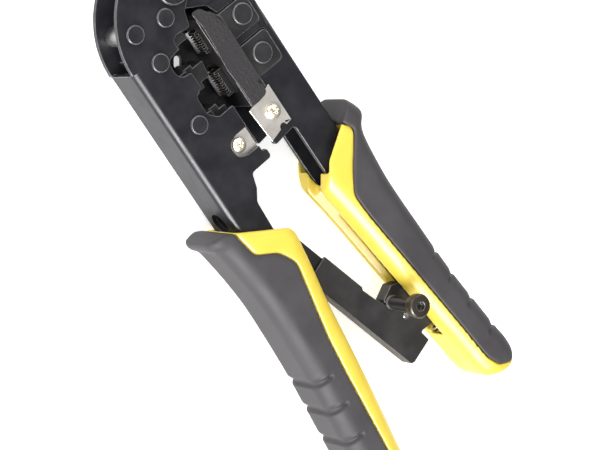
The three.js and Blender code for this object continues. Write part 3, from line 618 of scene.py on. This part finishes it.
# Further hollows: round the moving arm at the mouth, the notch at the mouth's inner corner, the
# valley's profile, the place of the link's spring, and the slots for the ratchet.
RIGHT_THROAT = [(12, -70), (28.2, -70), (28.2, -86), (12, -96.4)]
RIGHT_NOTCH = [(0, -80), (14, -80), (14, -96), (10.8, -102, 1), (0, -102)]
NOTCH_HALF = 4.6
VALLEY = [(-9, -5.3), (-0.3, -5.3), (4, -3.4), (4, 3.5), (-0.3, 4), (-9, 4)]
VALLEY_TOP = -92
VALLEY_BOTTOM = -176
SPRING_PLACE = [(18.2, -172), (27, -172), (31, -194), (24, -194)]
RIGHT_SLOT = [(4, -114, 2), (24, -114, 2), (24, -178, 2), (4, -178, 2)]
LEFT_SLOT = [(-24, -96), (-4, -96), (-4, -160, 2), (-24, -160, 2)]


def close_stations(stations, half):
    """Rows (y, inner x, outer x, half-thickness) at close steps, smoothly through the stations."""
    thinning = [0.0] * (len(stations) - len(END_THINNING)) + list(END_THINNING)
    rows = np.array([
        (*station, half - thinned) for station, thinned in zip(stations, thinning)
    ], float)[::-1]
    where, values = rows[:, 0], rows[:, 1:]
    slopes = np.gradient(values, where, axis=0)
    fine = np.concatenate([
        np.linspace(low, high, max(2, round((high - low) / STATION_STEP)), endpoint=False)
        for low, high in zip(where, where[1:])
    ] + [where[-1:]])
    at = np.clip(np.searchsorted(where, fine, side="right") - 1, 0, len(where) - 2)
    span = (where[at + 1] - where[at])[:, None]
    t = (fine - where[at])[:, None] / span
    curve = (
        (2 * t ** 3 - 3 * t ** 2 + 1) * values[at] + (t ** 3 - 2 * t ** 2 + t) * span * slopes[at]
        + (3 * t ** 2 - 2 * t ** 3) * values[at + 1] + (t ** 3 - t ** 2) * span * slopes[at + 1]
    )
    return np.column_stack([fine, curve])


def solid(name, rings):
    """A closed solid skinned over rings of places in the tool's frame, in millimetres."""
    count = len(rings[0])
    places = [point(*place) for ring in rings for place in ring]
    faces = [
        (row * count + side, row * count + (side + 1) % count,
         (row + 1) * count + (side + 1) % count, (row + 1) * count + side)
        for row in range(len(rings) - 1) for side in range(count)
    ]
    last = (len(rings) - 1) * count
    faces += [tuple(reversed(range(count))), tuple(range(last, last + count))]
    mesh = bpy.data.meshes.new(name)
    mesh.from_pydata(places, [], faces)
    obj = new_object(name, mesh)
    rework(obj, lambda made: bmesh.ops.recalc_face_normals(made, faces=made.faces))
    return obj


def section(inner, outer, half):
    """A handle's rounded rectangular section as (x, z) pairs."""
    left, right = min(inner, outer), max(inner, outer)
    radius = min(HANDLE_CORNER, (right - left) / 2 - LEAST_FLAT)
    pairs = []
    corners = ((right, half, 0), (left, half, 90), (left, -half, 180), (right, -half, 270))
    for x, z, start in corners:
        middle_x = x - math.copysign(radius, x - (left + right) / 2)
        middle_z = z - math.copysign(radius, z)
        for step in range(CORNER_STEPS + 1):
            angle = math.radians(start + 90 * step / CORNER_STEPS)
            pairs.append((middle_x + radius * math.cos(angle), middle_z + radius * math.sin(angle)))
    return pairs


def handle_body(name, stations, half, side_inset=0.0, face_inset=0.0):
    rings = []
    for y, inner, outer, thick in close_stations(stations, half):
        margin = min(side_inset, abs(outer - inner) / 2 - LEAST_CORE)
        shift = math.copysign(margin, outer - inner)
        ring = section(inner + shift, outer - shift, thick - face_inset)
        rings.append([(x, y, z) for x, z in ring])
    return solid(name, rings)


def outline(corners):
    """Corners are (x, y) or (x, y, fillet radius), and the outline runs round them in order."""
    places = []
    for index, (x, y, *fillet) in enumerate(corners):
        corner = Vector((x, y))
        if not fillet:
            places.append(corner)
            continue
        back = (Vector(corners[index - 1][:2]) - corner).normalized()
        ahead = (Vector(corners[(index + 1) % len(corners)][:2]) - corner).normalized()
        half = back.angle(ahead) / 2
        centre = corner + (back + ahead).normalized() * fillet[0] / math.sin(half)
        start = corner + back * fillet[0] / math.tan(half) - centre
        turn = math.copysign(math.pi - 2 * half, ahead.x * back.y - ahead.y * back.x)
        for step in range(FILLET_STEPS + 1):
            places.append(centre + Matrix.Rotation(turn * step / FILLET_STEPS, 2) @ start)
    return places


def prism(corners, low=-THROUGH, high=THROUGH):
    return solid("cutter", [[(x, y, z) for x, y in outline(corners)] for z in (low, high)])


def boolean(obj, operation, *others):
    """Cuts an object by the others, or keeps what they share, and removes the others."""
    for other in others:
        step = obj.modifiers.new("boolean", "BOOLEAN")
        step.operation = operation
        step.object = other
        step.solver = "EXACT"
    settle(obj)
    for other in others:
        bpy.data.objects.remove(other)


def ease(value, low, high):
    """Runs smoothly from 0 at low to 1 at high."""
    t = np.clip((value - low) / (high - low), 0, 1)
    return t * t * (3 - 2 * t)


def moulded(obj, mouth_end):
    """Rounds every edge a little, as moulding does, and the edges round the mouth more."""
    remesh = obj.modifiers.new("skin", "REMESH")
    remesh.mode = "VOXEL"
    remesh.voxel_size = VOXEL * MM
    settle(obj)
    mouth = obj.vertex_groups.new(name="mouth")
    for vertex in obj.data.vertices:
        weight = float(ease(in_tool(vertex.co).y, mouth_end - MOUTH_FADE, mouth_end))
        if weight > 0:
            mouth.add([vertex.index], weight, "REPLACE")
    for group, iterations in (("", EDGE_PASSES), ("mouth", MOUTH_PASSES)):
        soften = obj.modifiers.new("soften", "SMOOTH")
        soften.iterations = iterations
        soften.vertex_group = group
    settle(obj)


def press_grooves(obj, stations, grooves):
    """Sinks the finger grooves: a channel with a closed inner end, scalloped above it further out."""
    mesh = obj.data
    places = np.empty(len(mesh.vertices) * 3)
    normals = np.empty(len(mesh.vertices) * 3)
    mesh.vertices.foreach_get("co", places)
    mesh.vertices.foreach_get("normal", normals)
    places, normals = places.reshape(-1, 3), normals.reshape(-1, 3)
    x, y, z = ((places - np.array(PIVOT)) / MM).T
    rows = np.array(stations, float)[::-1]
    middle = np.interp(y, rows[:, 0], (rows[:, 1] + rows[:, 2]) / 2)
    outside = (x - middle) * normals[:, 0] + z * normals[:, 2] > 0
    sink = np.zeros(len(x))
    for groove_y, inner_x in grooves:
        reach = (x - inner_x) * math.copysign(1, inner_x)
        channel = 1 - ease(np.hypot(y - groove_y, np.minimum(reach, 0)), *GROOVE_WALL)
        above, below = ease(y - groove_y, *SCALLOP_RISE), ease(groove_y - y, *GROOVE_WALL)
        scallop = (1 - np.where(y > groove_y, above, below)) * ease(reach, *SCALLOP_START)
        sink = np.maximum.reduce([sink, channel, scallop])
    places -= normals * (sink * outside * GROOVE_DEPTH * MM)[:, None]
    mesh.vertices.foreach_set("co", places.ravel())
    mesh.update()


def grip_zone(edge, side, seam=0.0):
    shifted = [(x + side * seam, y + seam / 2, *fillet) for x, y, *fillet in edge]
    return prism([*shifted, (side * 90, -120), (side * 90, -62 + seam)])


def inner_side_bar(profile, top, bottom):
    """A bar along the right handle's inner side; its profile is in (depth, z) from the surface."""
    start_x, start_y = INNER_SIDE_START
    lean = math.tan(math.radians(INNER_SIDE_LEAN))
    return solid("bar", [
        [(start_x + lean * (start_y - y) + depth, y, z) for depth, z in profile]
        for y in (top, bottom)
    ])


def open_body(name, stations, half, mouth, drop=0.0, side_inset=0.0, face_inset=0.0):
    """A handle's body with its mouth cut away, lower than the mouth's outline by drop."""
    body = handle_body(name, stations, half, side_inset, face_inset)
    boolean(body, "DIFFERENCE", prism([(x, y - drop, *fillet) for x, y, *fillet in mouth]))
    return body


def make_handle(side_name, stations, half, edge, side, grooves, mouth, cavity, hollows):
    """A handle's hard core and its soft grip."""
    core = open_body(f"{side_name}_handle_core_fine", stations, half, mouth)
    buried = open_body("buried", stations, half, mouth, LIP + BED_GAP, SKIN_SIDE, SKIN_FACE)
    rim = grip_zone(edge, side)
    boolean(rim, "DIFFERENCE", buried)
    boolean(core, "DIFFERENCE", rim, prism(*cavity), *hollows)
    grip = open_body(f"{side_name}_grip_fine", stations, half, mouth)
    boolean(grip, "INTERSECT", grip_zone(edge, side, SEAM))
    bed = open_body("bed", stations, half, mouth, LIP, SKIN_SIDE - BED_GAP, SKIN_FACE - BED_GAP)
    boolean(grip, "DIFFERENCE", bed, prism(*cavity))
    for piece in (core, grip):
        moulded(piece, MOUTH_END[side_name])
    press_grooves(grip, stations, grooves)
    dress(core, f"{side_name}_handle_core")
    dress(grip, f"{side_name}_grip")


def right_hollows():
    throat_half = RIGHT_HALF - MOUTH_WALL
    return [
        prism(RIGHT_THROAT, -throat_half, throat_half),
        prism(RIGHT_NOTCH, -NOTCH_HALF, NOTCH_HALF),
        inner_side_bar(VALLEY, VALLEY_TOP, VALLEY_BOTTOM),
        prism(SPRING_PLACE, -SLOT_HALF, SLOT_HALF),
        prism(RIGHT_SLOT, -SLOT_HALF, SLOT_HALF),
    ]


def make_handles():
    make_handle(
        "right", RIGHT_STATIONS, RIGHT_HALF, RIGHT_GRIP_EDGE, 1, RIGHT_GROOVES, RIGHT_MOUTH,
        (RIGHT_CAVITY, -INNER_FACE, INNER_FACE), right_hollows(),
    )
    make_handle(
        "left", LEFT_STATIONS, LEFT_HALF, LEFT_GRIP_EDGE, -1, LEFT_GROOVES, LEFT_MOUTH,
        (LEFT_CAVITY, -OUTER_FACE, OUTER_FACE), [prism(LEFT_SLOT, -SLOT_HALF, SLOT_HALF)],
    )


# ---- Springs ----
COIL_STEPS = 36                 # points on each turn of a spring
ALONG_Z = 0.1                   # sine of the lean from Z under which a coil starts towards X


def wire_coil(name, start, end, radius, turns, wire):
    """A round wire wound about the line from start to end, all in the tool's frame."""
    start, end = Vector(start), Vector(end)
    axis = (end - start).normalized()
    side = Vector((0, 0, 1)).cross(axis)
    side = side.normalized() if side.length > ALONG_Z else Vector((1, 0, 0))
    up = axis.cross(side)
    curve = bpy.data.curves.new(name, "CURVE")
    curve.dimensions = "3D"
    curve.bevel_depth = wire * MM
    curve.bevel_resolution = 4
    curve.use_fill_caps = True
    count = turns * COIL_STEPS + 1
    line = curve.splines.new("POLY")
    line.points.add(count - 1)
    for index in range(count):
        angle = index / COIL_STEPS * math.tau
        place = start.lerp(end, index / (count - 1)) + radius * (
            side * math.cos(angle) + up * math.sin(angle)
        )
        line.points[index].co = (*point(*place), 1)
    source = new_object(f"{name}_line", curve)
    graph = bpy.context.evaluated_depsgraph_get()
    mesh = bpy.data.meshes.new_from_object(source.evaluated_get(graph))
    bpy.data.objects.remove(source)
    dress(new_object(f"{name}_fine", mesh), name)


BAR_PIVOT = (-16.2, -105.0)
BAR_ANGLE = math.radians(17)


def on_bar(a, b):
    """A place a millimetres down the ratchet bar from its pivot and b to its right."""
    return (BAR_PIVOT[0] + a * math.sin(BAR_ANGLE) + b * math.cos(BAR_ANGLE),
            BAR_PIVOT[1] - a * math.cos(BAR_ANGLE) + b * math.sin(BAR_ANGLE))


def make_springs():
    wire_coil("opening_spring", (0, 0, -4.4), (0, 0, 4.4), 5.5, 5, 0.7)
    wire_coil("link_spring", (20.5, -173.9, 0), (27.2, -190.2, 0), 1.8, 8, 0.4)
    wire_coil("pawl_spring", (*on_bar(61.9, 15.2), 0), (*on_bar(65.2, 15.9), 0), 1.3, 3, 0.25)


# ---- Head and ratchet ----
MOVING_FACE = 7.7               # half-width of the moving arm's channel
MOVING_SIDE = 27.0              # its side wall's outer face
WALL_TOP = -16.4                # where that wall ends, below the open window
CLOSE = 0.05                    # a corner this close to a fold's line is on it
FOLD_RADIUS = 2.2


def on_moving_fold(x, y, z):
    """Whether a place is on a fold of the moving arm's channel."""
    return abs(x - MOVING_SIDE) < CLOSE and abs(abs(z) - MOVING_FACE) < CLOSE and y < WALL_TOP


RIVET_LOOK = {"finish": RAISED_STEEL, "edge": 0.15}
# What refined() is given for the nodes that need more than the finish of their slot.
SPECIAL = {
    "moving_frame": {"fold": on_moving_fold, "radius": FOLD_RADIUS},
    "ratchet_housing": {"finish": HOUSING_STEEL},
    "contact_punch_6": {"finish": PUNCH_STEEL, "edge": 0.08},
    "contact_punch_8": {"finish": PUNCH_STEEL, "edge": 0.08},
    "blade_block": {"finish": BROWN_STEEL},
    "die_face_plate": {"finish": RUGGED_STEEL, "edge": 0.2},
    "cutter_blade": {"edge": 0.12},
    "stripper_blade": {"edge": 0.12},
    "cutter_screw": {"edge": 0.12, "sharp": 34},
    "stripper_screw": {"edge": 0.12, "sharp": 34},
    "pivot_pin": RIVET_LOOK,
    **{f"frame_rivet_{index}": RIVET_LOOK for index in (1, 2, 3, 4)},
    **{f"die_rivet_{index}": RIVET_LOOK for index in (1, 2)},
}
# The nodes whose pieces are shaped anew above.
REBUILT = {
    "left_handle_core", "left_grip", "right_handle_core", "right_grip",
    "opening_spring", "link_spring", "pawl_spring",
}

make_camera()
make_studio()
make_handles()
make_springs()
for part_name in BODY_OF:
    if part_name not in REBUILT:
        refined(part_name, **SPECIAL.get(part_name, {}))
